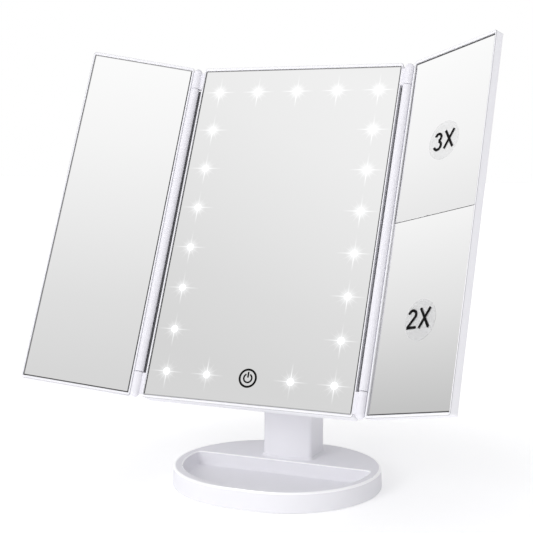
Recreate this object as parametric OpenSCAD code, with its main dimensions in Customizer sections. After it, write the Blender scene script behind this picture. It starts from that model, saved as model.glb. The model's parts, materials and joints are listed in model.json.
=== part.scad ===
// Three-panel table mirror with 21 lights behind the centre glass.
// Frame: +Z up, the mirrors face -Y, and the origin is on the table under the middle of the base.
// The head is drawn upright in a frame of its own (glass face at y = 0, panel centre at z = 0),
// then set on its tilt axle.
// A wing is drawn in a frame of its own, with its hinge axis on Z and the panel running out along +X.

/* [Panels] */
// Width of the centre glass opening
glass_w = 145.6; // [130:0.1:170]
// Height of the glass opening, the same in all three panels
glass_h = 237.2; // [200:0.1:280]
// Width of the glass opening in each wing
wing_glass_w = 71; // [60:0.1:72]
// Thickness of the mirror glass
glass_t = 2; // [1.5:0.1:3]
// Gap between a glass and the border round it
glass_gap = 0.4; // [0.2:0.05:0.6]
// How far the white border stands proud of the glass
border_proud = 0.8; // [0.4:0.1:1.5]
// Width of the border at the sides of the centre panel
border_side = 1; // [0.8:0.1:2]
// Width of the border along the top and bottom of every panel
border_end = 1.8; // [1.5:0.1:4]
// Width of the border along a wing's free edge
wing_border = 1; // [0.8:0.1:2]
// Depth of the centre panel behind the glass face
panel_d = 12.5; // [11.5:0.1:16]
// Height on the right wing of the joint between its two glasses
split_z = 5.8; // [-20:0.1:20]

/* [Lights] */
// Sideways distance from the middle to the light columns
led_x = 59; // [40:0.5:62]
// Distance from the middle up and down to the light rows
led_z = 101.5; // [80:0.5:104]
// Lights along the top row
led_across = 5; // [3:2:7]
// Lights down each side
led_down = 8; // [6:1:10]
// Radius of one frosted light window
led_r = 2.4; // [1.5:0.1:3]

/* [Hinges] */
// Radius of the hinge columns
knuckle_r = 3; // [2.8:0.1:4]
// Clear space between the turning column and the centre panel
knuckle_gap = 2; // [0.5:0.1:2.5]
// Height at which the fixed end knuckles begin
knuckle_z = 104; // [95:0.5:108]
// How far the hinge axis lies in front of the centre glass
hinge_front = 1; // [0.8:0.1:3]
// How far a wing's glass lies behind its own hinge axis
wing_set = 1.5; // [1.3:0.1:3]

/* [Pose at rest] */
// Lean of the head from upright
tilt = 24; // [0:1:60]
// Fold of the left wing from flat
left_fold = 24; // [0:1:90]
// Fold of the right wing from flat
right_fold = 32; // [0:1:90]

/* [Stand] */
// Radius of the base's two round ends
base_r = 63.6; // [60:0.1:80]
// Sideways distance from the middle of the base to the centre of each round end
base_half = 8; // [4:0.1:20]
// Height of the base
base_h = 13.5; // [12:0.1:20]
// Width of the rim round the tray
rim_w = 6.5; // [5.5:0.1:10]
// Depth position of the tray's straight wall
tray_y = 9.8; // [5:0.1:12]
// Height of the tray's floor above the table
tray_floor = 4.2; // [4:0.1:6]
// Half of the neck's width
neck_half = 18; // [16:0.1:20]
// Height of the tilt axle above the table
pivot_z = 168; // [160:1:185]

/* [Hidden] */
$fn = 64;

// Colours
white = [0.93, 0.93, 0.95];
silver = [0.82, 0.84, 0.86];
steel = [0.7, 0.71, 0.73];
board_green = [0.12, 0.38, 0.22];
print_black = [0.05, 0.05, 0.05];
foam_grey = [0.75, 0.75, 0.76];

// Panel outlines
half_gw = glass_w / 2;
half_gh = glass_h / 2;
half_pw = half_gw + border_side;
half_ph = half_gh + border_end;
corner_r = 1.6;
bezel_d = 7;                        // depth at which the bezel meets the rear cover
ledge_w = 2.5;
ledge_t = 1.2;
board_y = 3.3;                      // front of the light board
board_t = 1;
chassis_y = 4.4;
chassis_t = 1.6;
skin = 1.6;                         // thickness of the moulded walls
cavity_y = panel_d - skin;

// Hinges
hinge_x = half_pw + knuckle_gap + knuckle_r;
pin_r = 1;
pin_reach = 12;
run_gap = 0.05;                     // radial clearance of a running fit
part_gap = 0.4;                     // end gap between knuckles
dome_z = half_ph - 4;
foot_dome_z = -half_ph + 2.4;
guard_y = 2.6;
guard_t = 1.4;
guard_reach = 2.6;                  // how far the strip runs past the hinge axis

// Wing panels
wing_in = knuckle_r + 0.3;          // inner face of a wing's side wall
wing_glass_x = wing_in + 1.2;       // where its glass opening begins
wing_out = wing_glass_x + wing_glass_w + wing_border;
wing_front = wing_set - border_proud;
wing_wall_d = 4.5;                  // from the glass face to the back plate
wing_back_t = 1.2;
wing_back_y = wing_set + wing_wall_d;
dish_r3 = 1100;                     // radius of the sphere that the 3X glass is hollowed to
dish_r2 = 1500;                     // and the 2X glass
dish_edge = 33.6;                   // radius at which the hollow runs out
dish_rings = 8;

// Tilt axle, in the head's frame and in the world
pivot_back = 36;
pivot_up = 8.6;
pivot_y = 30;
bolt_r = 2.5;
bush_r = 3.6;
barrel_r = 14;
washer_x = 17.9;
washer_t = 0.8;
lug_x = 18.8;
lug_t = 7;
lug_r = 9;
lug_bore_d = 3.6;                   // depth of the pocket for the bolt head, nut and cap
lug_pocket_r = 5.4;

// Battery bay, in the head's frame
cell_r = 5.25;
cell_h = 44.5;
cell_pitch = 11;
cell_y = 14.6;
cell_z = 43;                        // bottom of the cells
bay_x = 27;
bay_z0 = 32;
bay_z1 = 98;
bay_y = 20.5;                       // rear edge of the bay's walls
cover_t = 2;
bay_wall = 2;

// Base and neck
mat_t = 1.2;
plate_t = 1.8;
base_wall = 2.2;
base_round = 1.6;
neck_front = 14.3;
neck_rear = 44;
neck_bow_r = 42.5;
neck_corner_r = 3;
neck_wall = 2.4;

function led_row(n) = [for (i = [0 : n - 1]) -led_x + i * 2 * led_x / (n - 1)];
function led_col(n) = [for (i = [1 : n - 2]) led_z - i * 2 * led_z / (n - 1)];
function led_places() = concat(
    [for (x = led_row(led_across)) [x, led_z]],
    [for (x = led_row(led_across)) if (abs(x) > 1) [x, -led_z]],
    [for (z = led_col(led_down), s = [-1, 1]) [s * led_x, z]]
);
// Where a line from point a touches the circle of radius r round c; side is 1 or -1
function tangent(a, c, r, side) =
    let (run = c - a, d = norm(run), bearing = atan2(run[1], run[0]) + side * asin(r / d))
    a + sqrt(d * d - r * r) * [cos(bearing), sin(bearing)];

// ---------- placing ----------

module on_head() {
    translate([0, pivot_y, pivot_z]) rotate([-tilt, 0, 0])
        translate([0, -pivot_back, -pivot_up]) children();
}

module on_right_wing() {
    on_head() translate([hinge_x, -hinge_front, 0]) rotate([0, 0, -right_fold]) children();
}

module on_left_wing() {
    on_head() translate([-hinge_x, -hinge_front, 0]) rotate([0, 0, left_fold]) mirror([1, 0, 0]) children();
}

// Stands a 2D outline drawn in x and z so that it fills from depth y0 to y1
module slab(y0, y1) {
    translate([0, y1, 0]) rotate([90, 0, 0]) linear_extrude(y1 - y0) children();
}

// Stands a 2D outline drawn in y and z so that it fills from x0 to x1
module side_slab(x0, x1) {
    translate([x0, 0, 0]) rotate([90, 0, 90]) linear_extrude(x1 - x0) children();
}

// Carries a shape drawn along +Z to point along +Y from depth y0
module along_y(x, y0, z) {
    translate([x, y0, z]) rotate([-90, 0, 0]) children();
}

// Carries a shape drawn along +Z to point along +X from x0
module along_x(x0, y, z) {
    translate([x0, y, z]) rotate([0, 90, 0]) children();
}

// ---------- shared shapes ----------

module rounded_rect(x0, x1, z0, z1, r) {
    translate([x0 + r, z0]) square([x1 - x0 - 2 * r, z1 - z0]);
    translate([x0, z0 + r]) square([x1 - x0, z1 - z0 - 2 * r]);
    for (x = [x0 + r, x1 - r], z = [z0 + r, z1 - r]) translate([x, z]) circle(r);
}

// A closed slab whose rear edges are rounded with radius r
module soft_back(x0, x1, z0, z1, y0, y1, r) {
    intersection() {
        slab(y0, y1) rounded_rect(x0, x1, z0, z1, corner_r);
        translate([0, 0, z0]) linear_extrude(z1 - z0) soft_edge(x0, x1, y0, y1, r);
        side_slab(x0, x1) mirror([1, 0]) rotate(90) soft_edge(z0, z1, y0, y1, r);
    }
}

// Outline, in width and depth, of a strip with its two rear corners rounded
module soft_edge(w0, w1, y0, y1, r) {
    translate([w0, y0]) square([w1 - w0, y1 - y0 - r]);
    translate([w0 + r, y0]) square([w1 - w0 - 2 * r, y1 - y0]);
    for (w = [w0 + r, w1 - r]) translate([w, y1 - r]) circle(r);
}

// Screw along +Z with its head on top at z = 0 and a cross recess
module screw(head_r, head_h, shaft_r, shaft_l) {
    recess_w = head_r * 0.32;
    recess_l = head_r * 1.2;
    recess_d = head_h * 0.55;
    difference() {
        translate([0, 0, -head_h]) cylinder(h = head_h, r1 = head_r, r2 = head_r * 0.82);
        for (a = [0, 90]) rotate(a)
            translate([-recess_l / 2, -recess_w / 2, -recess_d]) cube([recess_l, recess_w, head_h]);
    }
    translate([0, 0, -head_h - shaft_l]) cylinder(h = shaft_l, r = shaft_r);
}

// ---------- base ----------

// Solid with the base's outline: its profile gives a radius at each height
module oval(profile) {
    for (s = [-1, 1]) translate([s * base_half, 0, 0]) rotate(s * -90)
        rotate_extrude(angle = 180, $fn = 180) polygon(profile);
    translate([-base_half, 0, 0]) rotate([90, 0, 90]) linear_extrude(2 * base_half) {
        polygon(profile);
        mirror([1, 0]) polygon(profile);
    }
}

// Profile of a straight wall that grows from radius base_r + e0 at height z0 to base_r + e1 at z1
function wall(z0, z1, e0, e1) = [[0, z0], [base_r + e0, z0], [base_r + e1, z1], [0, z1]];

// The part of a shape that lies behind the line y = y0, or in front of it
module behind(y0) {
    intersection() {
        children();
        translate([-200, y0, -1]) cube([400, 200, 100]);
    }
}

module ahead_of(y0) {
    intersection() {
        children();
        translate([-200, y0 - 400, -1]) cube([400, 400, 100]);
    }
}

// Footprint of the neck, grown by e
module neck_outline(e) {
    bow_y = neck_front + neck_bow_r;
    cx = neck_half - neck_corner_r;
    cy = bow_y - sqrt(pow(neck_bow_r - neck_corner_r, 2) - cx * cx);
    // a wedge from the bow's centre, wide enough to cut out the bowed front between the corners
    wedge = 1.3 * [cx, bow_y - cy];
    intersection() {
        translate([0, bow_y]) circle(neck_bow_r + e, $fn = 120);
        polygon([[0, bow_y], [-wedge[0], bow_y - wedge[1]], [wedge[0], bow_y - wedge[1]]]);
    }
    for (x = [-cx, cx], y = [cy, neck_rear - neck_corner_r]) translate([x, y]) circle(neck_corner_r + e);
    translate([-cx, cy]) square([2 * cx, neck_rear + e - cy]);
    translate([-neck_half - e, cy]) square([2 * (neck_half + e), neck_rear - neck_corner_r - cy]);
}

tenon_x = 14;
tenon_y0 = 21;
tenon_y1 = 40;
foot_screw_spots = [for (s = [-1, 1]) [s * 8, (tenon_y0 + tenon_y1) / 2]];
base_screw_spots = [[-50, 28], [50, 28], [0, 54]];
boss_r = 3.2;
pilot_r = 1.2;                      // pilot hole of every self-tapping screw
pass_r = 1.3;                       // clearance hole for its shaft
sink_r = 2.7;                       // counterbore for its head
screw_r = 2.5;
screw_h = 1.1;

module base_shell() {
    skirt_z = 0.6;
    skirt_e = 0.5;
    round_end = base_h - base_round;
    hollow_top = base_h - 2;
    tray_draft = 0.8;
    tray_wall = 1.8;
    lip_w = 1;
    collar_h = 0.7;
    arc_step = 15;
    arc = [for (a = [0 : arc_step : 90]) [base_r - base_round * (1 - cos(a)), round_end + base_round * sin(a)]];
    color(white) {
        difference() {
            union() {
                oval(concat([[0, skirt_z], [base_r + skirt_e, skirt_z]], arc, [[0, base_h]]));
                // raised collar round the neck's foot, in two steps
                for (i = [1, 2]) translate([0, 0, base_h - 0.1])
                    linear_extrude(0.1 + i * collar_h) neck_outline(2.8 - i);
            }
            // tray
            ahead_of(tray_y) oval(wall(tray_floor, base_h * 2, -rim_w - tray_draft, -rim_w + tray_draft));
            // seat of the bottom plate
            oval(wall(0, mat_t + plate_t, -base_wall, -base_wall));
            // hollow behind the tray
            behind(tray_y + tray_wall) oval(wall(mat_t, hollow_top, -base_wall, -base_wall));
            // hollow inside the rim
            ahead_of(tray_y) difference() {
                oval(wall(mat_t, hollow_top, -base_wall, -base_wall));
                oval(wall(0, base_h, -rim_w + lip_w, -rim_w + lip_w));
            }
            // seat of the neck's tenon
            translate([-tenon_x, tenon_y0, 0]) cube([2 * tenon_x, tenon_y1 - tenon_y0, base_h + 3]);
        }
        for (p = base_screw_spots) translate([p[0], p[1], mat_t + plate_t]) difference() {
            cylinder(h = hollow_top + 0.2 - mat_t - plate_t, r = boss_r);
            translate([0, 0, -1]) cylinder(h = 7, r = pilot_r);
        }
    }
}

module base_plate() {
    color(white) difference() {
        oval(wall(mat_t, mat_t + plate_t, -base_wall - 0.2, -base_wall - 0.2));
        for (p = concat(base_screw_spots, foot_screw_spots)) translate([p[0], p[1], 0]) {
            cylinder(h = 5, r = pass_r);
            translate([0, 0, mat_t - 0.1]) cylinder(h = screw_h + 0.2, r = sink_r);
        }
    }
}

module base_mat() {
    color([0.25, 0.25, 0.26]) oval(wall(0, mat_t, -base_wall - 2.4, -base_wall - 2));
}

module base_screws() {
    color(steel) for (p = base_screw_spots) translate([p[0], p[1], mat_t + 0.05]) rotate([180, 0, 0])
        screw(screw_r, screw_h, pilot_r, 6);
}

module neck_foot_screws() {
    color(steel) for (p = foot_screw_spots) translate([p[0], p[1], mat_t + 0.05]) rotate([180, 0, 0])
        screw(screw_r, screw_h, pilot_r, 8);
}

// ---------- neck ----------

cover_half = 13.4;
cover_z0 = 24;
cover_z1 = 150;
cover_depth = 2;
cover_screw_z = [34, 140];
neck_skin = neck_wall + 3;          // thickness of the neck's bowed front
hollow_z = 20;
hollow_h = 132;

module neck_body() {
    intersection() {
        translate([0, 0, base_h + 1.4]) linear_extrude(pivot_z) neck_outline(0);
        side_slab(-neck_half - 1, neck_half + 1) {
            translate([pivot_y, pivot_z]) circle(barrel_r, $fn = 120);
            translate([neck_front - 1, 0]) square([neck_rear - neck_front + 2, pivot_z - barrel_r]);
            translate([pivot_y - barrel_r, 0]) square([2 * barrel_r, pivot_z]);
        }
    }
}

module neck_column() {
    post_l = neck_rear - cover_depth - neck_front - neck_wall;
    color(white) {
        difference() {
            union() {
                neck_body();
                translate([-tenon_x + 0.1, tenon_y0 + 0.1, mat_t + plate_t])
                    cube([2 * tenon_x - 0.2, tenon_y1 - tenon_y0 - 0.2, base_h]);
            }
            // hollow, open to the rear
            translate([-neck_half + neck_wall, neck_front + neck_skin, hollow_z])
                cube([2 * (neck_half - neck_wall), neck_rear - neck_front - neck_skin - cover_depth, hollow_h]);
            // seat of the rear cover
            translate([-cover_half - 0.2, neck_rear - cover_depth, cover_z0 - 0.2])
                cube([2 * cover_half + 0.4, 10, cover_z1 - cover_z0 + 0.4]);
            // bore for the bush
            along_x(-neck_half - 2, pivot_y, pivot_z) cylinder(h = 2 * neck_half + 4, r = bush_r);
            // flats where the friction washers run
            for (s = [-1, 1]) along_x(s > 0 ? washer_x - 0.1 : -neck_half - 1, pivot_y, pivot_z)
                cylinder(h = neck_half + 1 - (washer_x - 0.1), r = lug_r + 1);
            for (p = foot_screw_spots) translate([p[0], p[1], 0]) cylinder(h = 12, r = pilot_r);
        }
        for (z = cover_screw_z) along_y(0, neck_front + neck_wall, z) difference() {
            cylinder(h = post_l, r = boss_r);
            translate([0, 0, post_l - 16]) cylinder(h = 20, r = pilot_r);
        }
    }
}

module neck_back_cover() {
    color(white) difference() {
        soft_back(-cover_half, cover_half, cover_z0, cover_z1, neck_rear - cover_depth, neck_rear, 0.6);
        for (z = cover_screw_z) along_y(0, neck_rear - 5, z) cylinder(h = 10, r = pass_r);
        for (z = cover_screw_z) along_y(0, neck_rear - screw_h, z) cylinder(h = 10, r = sink_r);
    }
}

module neck_cover_screws() {
    color(steel) for (z = cover_screw_z) along_y(0, neck_rear, z) screw(screw_r, screw_h, pilot_r, 8);
}

module axle_bush() {
    color("ivory") along_x(-washer_x + 0.15, pivot_y, pivot_z) difference() {
        cylinder(h = 2 * (washer_x - 0.15), r = bush_r);
        translate([0, 0, -1]) cylinder(h = 2 * washer_x + 2, r = bolt_r + run_gap);
    }
}

// ---------- centre panel ----------

module center_bezel() {
    color(white) difference() {
        union() {
            difference() {
                slab(-border_proud, bezel_d) rounded_rect(-half_pw, half_pw, -half_ph, half_ph, corner_r);
                slab(-2, glass_t + 0.1) square([glass_w, glass_h], center = true);
                slab(-2, bezel_d + 1) square([glass_w - 2 * ledge_w, glass_h - 2 * ledge_w], center = true);
                slab(glass_t + 0.1 + ledge_t, bezel_d + 1) square([glass_w, glass_h], center = true);
            }
            for (s = [-1, 1]) {
                end_knuckle(s, knuckle_z, dome_z);
                end_knuckle(s, foot_dome_z, -knuckle_z);
                // strip behind the turning column that closes the view through the hinge gap
                slab(guard_y, guard_y + guard_t)
                    translate([s > 0 ? half_gw : -hinge_x - guard_reach, -knuckle_z])
                    square([hinge_x + guard_reach - half_gw, 2 * knuckle_z]);
            }
        }
        for (s = [-1, 1], z = [knuckle_z - 1, -knuckle_z - pin_reach])
            translate([s * hinge_x, -hinge_front, z]) cylinder(h = pin_reach + 1, r = pin_r);
    }
}

// A fixed knuckle with a domed outer end and the web that carries it
module end_knuckle(s, z0, z1) {
    translate([s * hinge_x, -hinge_front, z0]) cylinder(h = z1 - z0, r = knuckle_r);
    translate([s * hinge_x, -hinge_front, z0 > 0 ? z1 : z0]) sphere(knuckle_r);
    translate([s > 0 ? half_gw : -hinge_x, -hinge_front, z0]) cube([hinge_x - half_gw, knuckle_r, z1 - z0]);
}

module center_mirror() {
    color(silver) difference() {
        slab(0, glass_t) square([glass_w - 2 * glass_gap, glass_h - 2 * glass_gap], center = true);
        for (p = led_places()) along_y(p[0], -1, p[1]) cylinder(h = glass_t + 2, r = led_r);
    }
}

module led_windows() {
    color("white") for (p = led_places()) along_y(p[0], 0, p[1]) cylinder(h = glass_t, r = led_r);
}

module led_chips() {
    chip = 3;
    chip_t = 0.9;
    color("lightyellow") for (p = led_places())
        translate([p[0] - chip / 2, board_y - chip_t, p[1] - chip / 2]) cube([chip, chip_t, chip]);
}

module light_board() {
    reach = 6.5;
    color([0.92, 0.93, 0.9]) slab(board_y, board_y + board_t) difference() {
        square([2 * (led_x + reach), 2 * (led_z + reach)], center = true);
        square([2 * (led_x - reach), 2 * (led_z - reach)], center = true);
    }
}

module mirror_pads() {
    pad_w = 18;
    pad_h = 168;
    pitch = 34;
    color(foam_grey) for (i = [-1 : 1]) translate([i * pitch - pad_w / 2, glass_t, -pad_h / 2])
        cube([pad_w, chassis_y - glass_t, pad_h]);
}

rear_screw_x = 66;
rear_screw_z = [-112, 0, 112];
post_end_y = 9;
panel_pilot_r = 1.1;

// Sets a shape along +Y at each of the six screws of the rear cover
module at_rear_screws(y0) {
    for (s = [-1, 1], z = rear_screw_z) along_y(s * rear_screw_x, y0, z) children();
}

module chassis_plate() {
    color([0.85, 0.85, 0.86]) {
        difference() {
            slab(chassis_y, chassis_y + chassis_t) difference() {
                square([glass_w - 0.6, glass_h - 0.6], center = true);
                translate([-4, -86]) square([8, 6]);
            }
            at_rear_screws(chassis_y + 0.6) cylinder(h = 6, r = panel_pilot_r);
        }
        at_rear_screws(chassis_y + chassis_t) difference() {
            cylinder(h = post_end_y - chassis_y - chassis_t, r = 2.6);
            translate([0, 0, -1]) cylinder(h = 6, r = panel_pilot_r);
        }
    }
}

module touch_sensor() {
    color("goldenrod") along_y(0, glass_t, -led_z) {
        cylinder(h = 0.3, r = 5.5);
        translate([0, 0, 0.3]) cylinder(h = board_y - glass_t - 0.3, r1 = 4, r2 = 2.6);
    }
}

// Printed touch mark: a ring round a broken ring and a bar
module touch_symbol() {
    ring_r = 6.3;
    ring_w = 1.35;
    mark_r = 3.3;
    line_w = 1.05;
    ink_t = 0.12;
    gap_half = 28;
    color(print_black) translate([0, 0, -led_z]) slab(-ink_t, 0) {
        difference() {
            circle(ring_r);
            circle(ring_r - ring_w);
        }
        difference() {
            circle(mark_r);
            circle(mark_r - line_w);
            polygon(2 * ring_r * [[0, 0], [sin(gap_half), cos(gap_half)], [-sin(gap_half), cos(gap_half)]]);
        }
        translate([-line_w / 2, 0.4]) square([line_w, mark_r + 0.5]);
    }
}

// ---------- electronics ----------

ctrl_y = 7.4;
ctrl_t = 1.2;
ctrl_back = ctrl_y + ctrl_t;
ctrl_x0 = -26;
ctrl_x1 = 56;
ctrl_z0 = -103;
ctrl_z1 = -72;
usb_x = 44;
usb_z = -90;
usb_w = 7.6;
usb_h = 2.8;

module control_board() {
    color(board_green) slab(ctrl_y, ctrl_back)
        translate([ctrl_x0, ctrl_z0]) square([ctrl_x1 - ctrl_x0, ctrl_z1 - ctrl_z0]);
}

module control_parts() {
    color(print_black) {
        translate([-8, ctrl_back, -90]) cube([8, 1.4, 6]);
        translate([10, ctrl_back, -98]) cube([5, 1.2, 4]);
        for (i = [0 : 4]) translate([-20 + i * 5, ctrl_back, -80]) cube([1.6, 0.8, 3]);
        for (p = [[24, -84], [-18, -94]]) along_y(p[0], ctrl_back, p[1]) cylinder(h = 1.9, r = 3);
    }
}

module usb_socket() {
    mouth = panel_d - 0.3;
    wall = 0.35;
    end_t = 0.5;
    tongue = [4.4, mouth - ctrl_back - 1.3, 0.5];
    color(steel) translate([usb_x, 0, usb_z]) {
        slab(ctrl_back, mouth) difference() {
            usb_outline(usb_w / 2, usb_h / 2);
            usb_outline(usb_w / 2 - wall, usb_h / 2 - wall);
        }
        slab(ctrl_back, ctrl_back + end_t) usb_outline(usb_w / 2, usb_h / 2);
        translate([-tongue[0] / 2, ctrl_back + end_t, 0.15]) cube(tongue);
    }
}

// Micro-USB mouth: a flat box with its lower corners cut away
module usb_outline(w, h) {
    cut = 1.1;
    polygon([[-w, h], [w, h], [w, 0], [w - cut, -h], [cut - w, -h], [-w, 0]]);
}

// A wire of radius r along a list of points
module wire(points, r) {
    for (i = [0 : len(points) - 2]) {
        run = points[i + 1] - points[i];
        translate(points[i]) rotate([0, acos(run[2] / norm(run)), atan2(run[1], run[0])])
            cylinder(h = norm(run), r = r, $fn = 32);
    }
    for (i = [1 : len(points) - 2]) translate(points[i]) sphere(r * 1.12, $fn = 32);
}

module wiring() {
    y = 9.6;
    end_y = 9.3;
    wire_r = 0.6;
    color("crimson") wire([[-9, y, 35.6], [-9, y, 28], [-34, y, 14], [-34, y, -58], [-22, end_y, -75]], wire_r);
    color(print_black) wire([[9, y, 35.6], [9, y, 24], [-31, y, 2], [-31, y, -56], [-18, end_y, -75]], wire_r);
}

// ---------- rear cover and battery bay ----------

module rear_cover() {
    inner_w = half_gw - 0.6;
    inner_h = half_gh - 0.6;
    cover_boss_r = 4;
    back_round = 2.4;
    groove = 1.2;
    groove_y0 = bay_y - 2;
    slot_w = rail_w + 0.4;
    color(white) difference() {
        union() {
            difference() {
                union() {
                    soft_back(-half_pw, half_pw, -half_ph, half_ph, bezel_d, panel_d, back_round);
                    slab(panel_d - 1, bay_y) rounded_rect(-bay_x, bay_x, bay_z0, bay_z1, corner_r);
                }
                slab(bezel_d - 1, cavity_y) square([2 * inner_w, 2 * inner_h], center = true);
                slab(cavity_y - 1, bay_y + 1) translate([-bay_x + bay_wall, bay_z0 + bay_wall])
                    square([2 * (bay_x - bay_wall), bay_z1 - bay_z0 - 2 * bay_wall]);
            }
            at_rear_screws(post_end_y) cylinder(h = cavity_y - post_end_y + 0.2, r = cover_boss_r);
        }
        at_rear_screws(bezel_d - 1) {
            cylinder(h = panel_d, r = pass_r);
            translate([0, 0, panel_d - bezel_d - 1]) cylinder(h = 4, r = 2.8);
        }
        // grooves that the battery cover's rails slide in, open at the top
        for (m = [0, 1]) mirror([m, 0, 0]) {
            translate([bay_x - bay_wall - 0.1, groove_y0, bay_z0 + 3]) cube([groove, groove, bay_z1 - bay_z0]);
            translate([rail_x - 0.2, groove_y0, bay_z1 - bay_wall - 1]) cube([slot_w, 4, bay_wall + 2]);
        }
        slab(cavity_y - 1, panel_d + 1) translate([usb_x, usb_z])
            square([usb_w + 0.8, usb_h + 0.8], center = true);
    }
}

rail_x = 23.5;
rail_w = 1.2;

module battery_cover() {
    grip_ribs = 5;
    grip_d = 0.6;
    grip_z = bay_z0 + 14;
    rib = [12, 0.55, 0.8];
    rib_pitch = 2;
    rail_y = bay_y - 1.8;
    rail_z = bay_z0 + 4;
    rail_l = bay_z1 - bay_z0 - 12;
    tongue = 0.8;
    y0 = bay_y + 0.1;
    color(white) {
        difference() {
            soft_back(-bay_x, bay_x, bay_z0, bay_z1, y0, y0 + cover_t, 1);
            slab(y0 + cover_t - grip_d, y0 + 4) translate([0, grip_z]) intersection() {
                square([20, 12], center = true);
                circle(9);
            }
        }
        for (i = [0 : grip_ribs - 1])
            translate([-rib[0] / 2, y0 + cover_t - grip_d, grip_z - 4.2 + i * rib_pitch]) cube(rib);
        for (m = [0, 1]) mirror([m, 0, 0]) {
            translate([rail_x, rail_y, rail_z]) cube([rail_w, 1.9, rail_l]);
            translate([rail_x + rail_w - 0.1, rail_y, rail_z]) cube([tongue, 0.8, rail_l]);
        }
    }
}

holder_x = 22.9;
holder_y = 8.4;
holder_z0 = 36;
holder_z1 = 94;
holder_t = 1.2;
cell_xs = [for (i = [0 : 3]) (i - 1.5) * cell_pitch];

module battery_holder() {
    holder_d = cell_y + 3.4 - holder_y;
    room_r = cell_r + 0.12;
    room_h = holder_z1 - holder_z0 - 2 * holder_t;
    color([0.2, 0.2, 0.21]) difference() {
        translate([-holder_x, holder_y, holder_z0]) cube([2 * holder_x, holder_d, holder_z1 - holder_z0]);
        for (x = cell_xs) {
            translate([x, cell_y, holder_z0 + holder_t]) cylinder(h = room_h, r = room_r);
            translate([x - room_r, cell_y, holder_z0 + holder_t]) cube([2 * room_r, 10, room_h]);
        }
    }
}

module battery_cells() {
    nub = 1;
    nub_r = 1.9;
    for (i = [0 : 3]) translate([cell_xs[i], cell_y, cell_z + (i % 2) * cell_h]) mirror([0, 0, i % 2]) {
        color([0.25, 0.28, 0.32]) cylinder(h = cell_h - nub, r = cell_r);
        color(steel) translate([0, 0, cell_h - nub]) cylinder(h = nub, r = nub_r);
    }
}

// A cone spring at each cell's flat end and a leaf at its nub
module battery_contacts() {
    gap_low = cell_z - holder_z0 - holder_t;
    gap_high = holder_z1 - holder_t - cell_z - cell_h;
    color("silver") for (i = [0 : 3]) translate([cell_xs[i], cell_y, 0]) {
        spring_low = i % 2 == 0;
        translate([0, 0, holder_z0 + holder_t]) contact(gap_low, spring_low);
        translate([0, 0, holder_z1 - holder_t]) mirror([0, 0, 1]) contact(gap_high, !spring_low);
    }
}

module contact(gap, spring) {
    leaf = 0.4;
    leaf_w = 8;
    turns = 3;
    coil_r = 3.4;                   // of the widest turn; each turn above is narrower
    taper = 0.5;
    wire_r = (gap - leaf) / turns * 0.56;
    rise = (gap - leaf - 1.9 * wire_r) / (turns - 1);
    translate([-leaf_w / 2, -leaf_w / 2, 0]) cube([leaf_w, leaf_w, leaf]);
    if (spring) {
        for (t = [0 : turns - 1]) translate([0, 0, leaf + 0.9 * wire_r + t * rise])
            rotate_extrude($fn = 48) translate([coil_r - t * taper, 0]) circle(wire_r, $fn = 24);
    } else {
        translate([0, 0, leaf]) cylinder(h = gap - leaf, r1 = 2.6, r2 = 1.4);
    }
}

module rear_screws() {
    head_y = panel_d - 0.7;
    color(steel) at_rear_screws(head_y) screw(screw_r, 1.2, panel_pilot_r, 5);
}

// ---------- tilt hardware ----------

bracket_t = 3;
bracket_x = 30;
bracket_z0 = -15;
bracket_z1 = 30;
bracket_screw_z = [-10.5, 25.5];
bracket_screw_x = 13;
bolt_head_r = 4.4;
bolt_head_t = 2.2;

module lug_profile() {
    c = [pivot_back, pivot_up];
    low = [panel_d + 1, bracket_z0 + 3];
    high = [panel_d + 1, bracket_z1 - 3];
    polygon([low, tangent(low, c, lug_r, -1), c, tangent(high, c, lug_r, 1), high]);
    translate(c) circle(lug_r, $fn = 96);
}

module tilt_bracket() {
    color(white) difference() {
        union() {
            soft_back(-bracket_x, bracket_x, bracket_z0, bracket_z1, panel_d, panel_d + bracket_t, 1.2);
            side_slab(lug_x, lug_x + lug_t) lug_profile();
            side_slab(-lug_x - lug_t, -lug_x) lug_profile();
        }
        along_x(-40, pivot_back, pivot_up) cylinder(h = 80, r = bolt_r);
        for (m = [0, 1]) mirror([m, 0, 0]) along_x(lug_x + lug_t - lug_bore_d, pivot_back, pivot_up)
            cylinder(h = lug_bore_d + 1, r = lug_pocket_r);
        for (s = [-1, 1], z = bracket_screw_z) along_y(s * bracket_screw_x, panel_d - 1, z) {
            cylinder(h = 6, r = pass_r);
            translate([0, 0, bracket_t - 0.3]) cylinder(h = 4, r = sink_r);
        }
    }
}

module bracket_screws() {
    head_y = panel_d + bracket_t - 0.1;
    color(steel) for (s = [-1, 1], z = bracket_screw_z) along_y(s * bracket_screw_x, head_y, z)
        screw(screw_r, 1.2, pass_r, 1.6);
}

module tilt_bolt() {
    head_x = lug_x + lug_t - lug_bore_d;
    color(steel) {
        along_x(-head_x - bolt_head_t, pivot_back, pivot_up) cylinder(h = bolt_head_t, r = bolt_head_r);
        along_x(-head_x, pivot_back, pivot_up) cylinder(h = 2 * head_x + bolt_head_t, r = bolt_r);
    }
}

module tilt_nut() {
    nut_x = lug_x + lug_t - lug_bore_d;
    nut_r = 4.6;
    color(steel) along_x(nut_x, pivot_back, pivot_up) difference() {
        cylinder(h = bolt_head_t, r = nut_r, $fn = 6);
        translate([0, 0, -1]) cylinder(h = 5, r = bolt_r);
    }
}

module friction_washers() {
    washer_r = 8;
    color([0.3, 0.3, 0.32]) for (m = [0, 1]) mirror([m, 0, 0]) along_x(washer_x, pivot_back, pivot_up)
        difference() {
            cylinder(h = washer_t, r = washer_r);
            translate([0, 0, -1]) cylinder(h = 3, r = bolt_r + run_gap);
        }
}

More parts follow.
